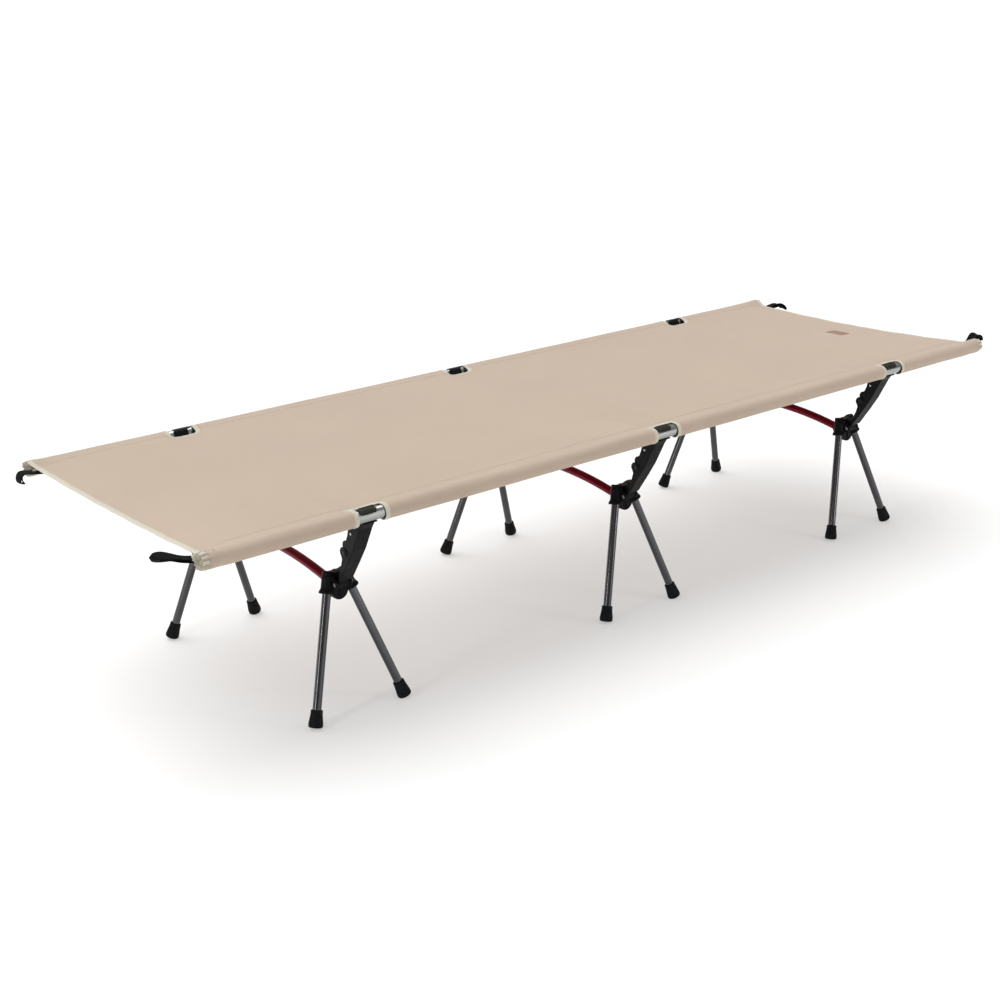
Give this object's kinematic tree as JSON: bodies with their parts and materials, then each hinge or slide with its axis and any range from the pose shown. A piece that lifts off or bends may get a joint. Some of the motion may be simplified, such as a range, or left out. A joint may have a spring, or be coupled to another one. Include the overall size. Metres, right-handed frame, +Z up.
{
  "type": "folding cot",
  "caption": "Low folding camp cot: taut fabric deck on two side poles, arched cross bows, splayed plug-in legs and over-centre tension levers.",
  "frame": {"origin": "on the floor under the middle of the deck (bottom centre of the bounding box)", "axes": "+X along the bed, +Y across it to the far side, +Z up"},
  "size_m": [2.03, 0.6686, 0.3845],
  "materials": {
    "deck_fabric": "woven beige polyester, matt",
    "webbing": "black woven webbing",
    "pole_aluminium": "bright silver tube",
    "leg_aluminium": "satin grey anodised tube",
    "bow_anodised": "dark red anodised tube",
    "black_nylon": "moulded, finely textured",
    "pin_steel": "plain turned pin",
    "foot_rubber": "matt black rubber"
  },
  "bodies": {
    "bed_frame": {"fabric_deck": "deck_fabric", "side_pole_near": "pole_aluminium", "side_pole_far": "pole_aluminium", "bow_1": "bow_anodised", "bow_2": "bow_anodised", "bow_3": "bow_anodised", "hub_1_near": "black_nylon", "hub_pin_1_near": "pin_steel", "hub_1_far": "black_nylon", "hub_pin_1_far": "pin_steel", "hub_2_near": "black_nylon", "hub_pin_2_near": "pin_steel", "hub_2_far": "black_nylon", "hub_pin_2_far": "pin_steel", "hub_3_near": "black_nylon", "hub_pin_3_near": "pin_steel", "hub_3_far": "black_nylon", "hub_pin_3_far": "pin_steel", "pull_loop_near_left": "webbing", "pull_loop_near_right": "webbing", "pull_loop_far_left": "webbing", "pull_loop_far_right": "webbing"},
    "link_1_near": {"link_1_near": "black_nylon"},
    "lever_1_near": {"lever_1_near": "black_nylon"},
    "leg_1_near_a": {"leg_1_near_a": "leg_aluminium", "foot_1_near_a": "foot_rubber"},
    "leg_1_near_b": {"leg_1_near_b": "leg_aluminium", "foot_1_near_b": "foot_rubber"},
    "link_1_far": {"link_1_far": "black_nylon"},
    "lever_1_far": {"lever_1_far": "black_nylon"},
    "leg_1_far_a": {"leg_1_far_a": "leg_aluminium", "foot_1_far_a": "foot_rubber"},
    "leg_1_far_b": {"leg_1_far_b": "leg_aluminium", "foot_1_far_b": "foot_rubber"},
    "link_2_near": {"link_2_near": "black_nylon"},
    "lever_2_near": {"lever_2_near": "black_nylon"},
    "leg_2_near_a": {"leg_2_near_a": "leg_aluminium", "foot_2_near_a": "foot_rubber"},
    "leg_2_near_b": {"leg_2_near_b": "leg_aluminium", "foot_2_near_b": "foot_rubber"},
    "link_2_far": {"link_2_far": "black_nylon"},
    "lever_2_far": {"lever_2_far": "black_nylon"},
    "leg_2_far_a": {"leg_2_far_a": "leg_aluminium", "foot_2_far_a": "foot_rubber"},
    "leg_2_far_b": {"leg_2_far_b": "leg_aluminium", "foot_2_far_b": "foot_rubber"},
    "link_3_near": {"link_3_near": "black_nylon"},
    "lever_3_near": {"lever_3_near": "black_nylon"},
    "leg_3_near_a": {"leg_3_near_a": "leg_aluminium", "foot_3_near_a": "foot_rubber"},
    "leg_3_near_b": {"leg_3_near_b": "leg_aluminium", "foot_3_near_b": "foot_rubber"},
    "link_3_far": {"link_3_far": "black_nylon"},
    "lever_3_far": {"lever_3_far": "black_nylon"},
    "leg_3_far_a": {"leg_3_far_a": "leg_aluminium", "foot_3_far_a": "foot_rubber"},
    "leg_3_far_b": {"leg_3_far_b": "leg_aluminium", "foot_3_far_b": "foot_rubber"}
  },
  "joints": [
    {"name": "link_1_near_hinge", "type": "hinge", "parent": "bed_frame", "child": "link_1_near", "pos_m": [-0.65, -0.2275, 0.228], "axis": [1, 0, 0], "range_deg": [0, 72]},
    {"name": "lever_1_near_hinge", "type": "hinge", "parent": "link_1_near", "child": "lever_1_near", "pos_m": [-0.65, -0.26406, 0.2949], "axis": [1, 0, 0], "range_deg": [-132, 0]},
    {"name": "leg_1_near_a_slide", "type": "slide", "parent": "bed_frame", "child": "leg_1_near_a", "axis": [0.2983, -0.189, -0.9356], "range_m": [0, 0.028]},
    {"name": "leg_1_near_b_slide", "type": "slide", "parent": "bed_frame", "child": "leg_1_near_b", "axis": [-0.2983, -0.189, -0.9356], "range_m": [0, 0.028]},
    {"name": "link_1_far_hinge", "type": "hinge", "parent": "bed_frame", "child": "link_1_far", "pos_m": [-0.65, 0.2275, 0.228], "axis": [-1, 0, 0], "range_deg": [0, 72]},
    {"name": "lever_1_far_hinge", "type": "hinge", "parent": "link_1_far", "child": "lever_1_far", "pos_m": [-0.65, 0.26406, 0.2949], "axis": [-1, 0, 0], "range_deg": [-132, 0]},
    {"name": "leg_1_far_a_slide", "type": "slide", "parent": "bed_frame", "child": "leg_1_far_a", "axis": [-0.2983, 0.189, -0.9356], "range_m": [0, 0.028]},
    {"name": "leg_1_far_b_slide", "type": "slide", "parent": "bed_frame", "child": "leg_1_far_b", "axis": [0.2983, 0.189, -0.9356], "range_m": [0, 0.028]},
    {"name": "link_2_near_hinge", "type": "hinge", "parent": "bed_frame", "child": "link_2_near", "pos_m": [0, -0.2275, 0.228], "axis": [1, 0, 0], "range_deg": [0, 72]},
    {"name": "lever_2_near_hinge", "type": "hinge", "parent": "link_2_near", "child": "lever_2_near", "pos_m": [0, -0.26406, 0.2949], "axis": [1, 0, 0], "range_deg": [-132, 0]},
    {"name": "leg_2_near_a_slide", "type": "slide", "parent": "bed_frame", "child": "leg_2_near_a", "axis": [0.2983, -0.189, -0.9356], "range_m": [0, 0.028]},
    {"name": "leg_2_near_b_slide", "type": "slide", "parent": "bed_frame", "child": "leg_2_near_b", "axis": [-0.2983, -0.189, -0.9356], "range_m": [0, 0.028]},
    {"name": "link_2_far_hinge", "type": "hinge", "parent": "bed_frame", "child": "link_2_far", "pos_m": [0, 0.2275, 0.228], "axis": [-1, 0, 0], "range_deg": [0, 72]},
    {"name": "lever_2_far_hinge", "type": "hinge", "parent": "link_2_far", "child": "lever_2_far", "pos_m": [0, 0.26406, 0.2949], "axis": [-1, 0, 0], "range_deg": [-132, 0]},
    {"name": "leg_2_far_a_slide", "type": "slide", "parent": "bed_frame", "child": "leg_2_far_a", "axis": [-0.2983, 0.189, -0.9356], "range_m": [0, 0.028]},
    {"name": "leg_2_far_b_slide", "type": "slide", "parent": "bed_frame", "child": "leg_2_far_b", "axis": [0.2983, 0.189, -0.9356], "range_m": [0, 0.028]},
    {"name": "link_3_near_hinge", "type": "hinge", "parent": "bed_frame", "child": "link_3_near", "pos_m": [0.65, -0.2275, 0.228], "axis": [1, 0, 0], "range_deg": [0, 72]},
    {"name": "lever_3_near_hinge", "type": "hinge", "parent": "link_3_near", "child": "lever_3_near", "pos_m": [0.65, -0.26406, 0.2949], "axis": [1, 0, 0], "range_deg": [-132, 0]},
    {"name": "leg_3_near_a_slide", "type": "slide", "parent": "bed_frame", "child": "leg_3_near_a", "axis": [0.2983, -0.189, -0.9356], "range_m": [0, 0.028]},
    {"name": "leg_3_near_b_slide", "type": "slide", "parent": "bed_frame", "child": "leg_3_near_b", "axis": [-0.2983, -0.189, -0.9356], "range_m": [0, 0.028]},
    {"name": "link_3_far_hinge", "type": "hinge", "parent": "bed_frame", "child": "link_3_far", "pos_m": [0.65, 0.2275, 0.228], "axis": [-1, 0, 0], "range_deg": [0, 72]},
    {"name": "lever_3_far_hinge", "type": "hinge", "parent": "link_3_far", "child": "lever_3_far", "pos_m": [0.65, 0.26406, 0.2949], "axis": [-1, 0, 0], "range_deg": [-132, 0]},
    {"name": "leg_3_far_a_slide", "type": "slide", "parent": "bed_frame", "child": "leg_3_far_a", "axis": [-0.2983, 0.189, -0.9356], "range_m": [0, 0.028]},
    {"name": "leg_3_far_b_slide", "type": "slide", "parent": "bed_frame", "child": "leg_3_far_b", "axis": [0.2983, 0.189, -0.9356], "range_m": [0, 0.028]}
  ],
  "couplings": [
    {"joint": "lever_1_near_hinge", "follows": "link_1_near_hinge", "ratio": -1.7972},
    {"joint": "lever_1_far_hinge", "follows": "link_1_far_hinge", "ratio": -1.7972},
    {"joint": "lever_2_near_hinge", "follows": "link_2_near_hinge", "ratio": -1.7972},
    {"joint": "lever_2_far_hinge", "follows": "link_2_far_hinge", "ratio": -1.7972},
    {"joint": "lever_3_near_hinge", "follows": "link_3_near_hinge", "ratio": -1.7972},
    {"joint": "lever_3_far_hinge", "follows": "link_3_far_hinge", "ratio": -1.7972}
  ]
}
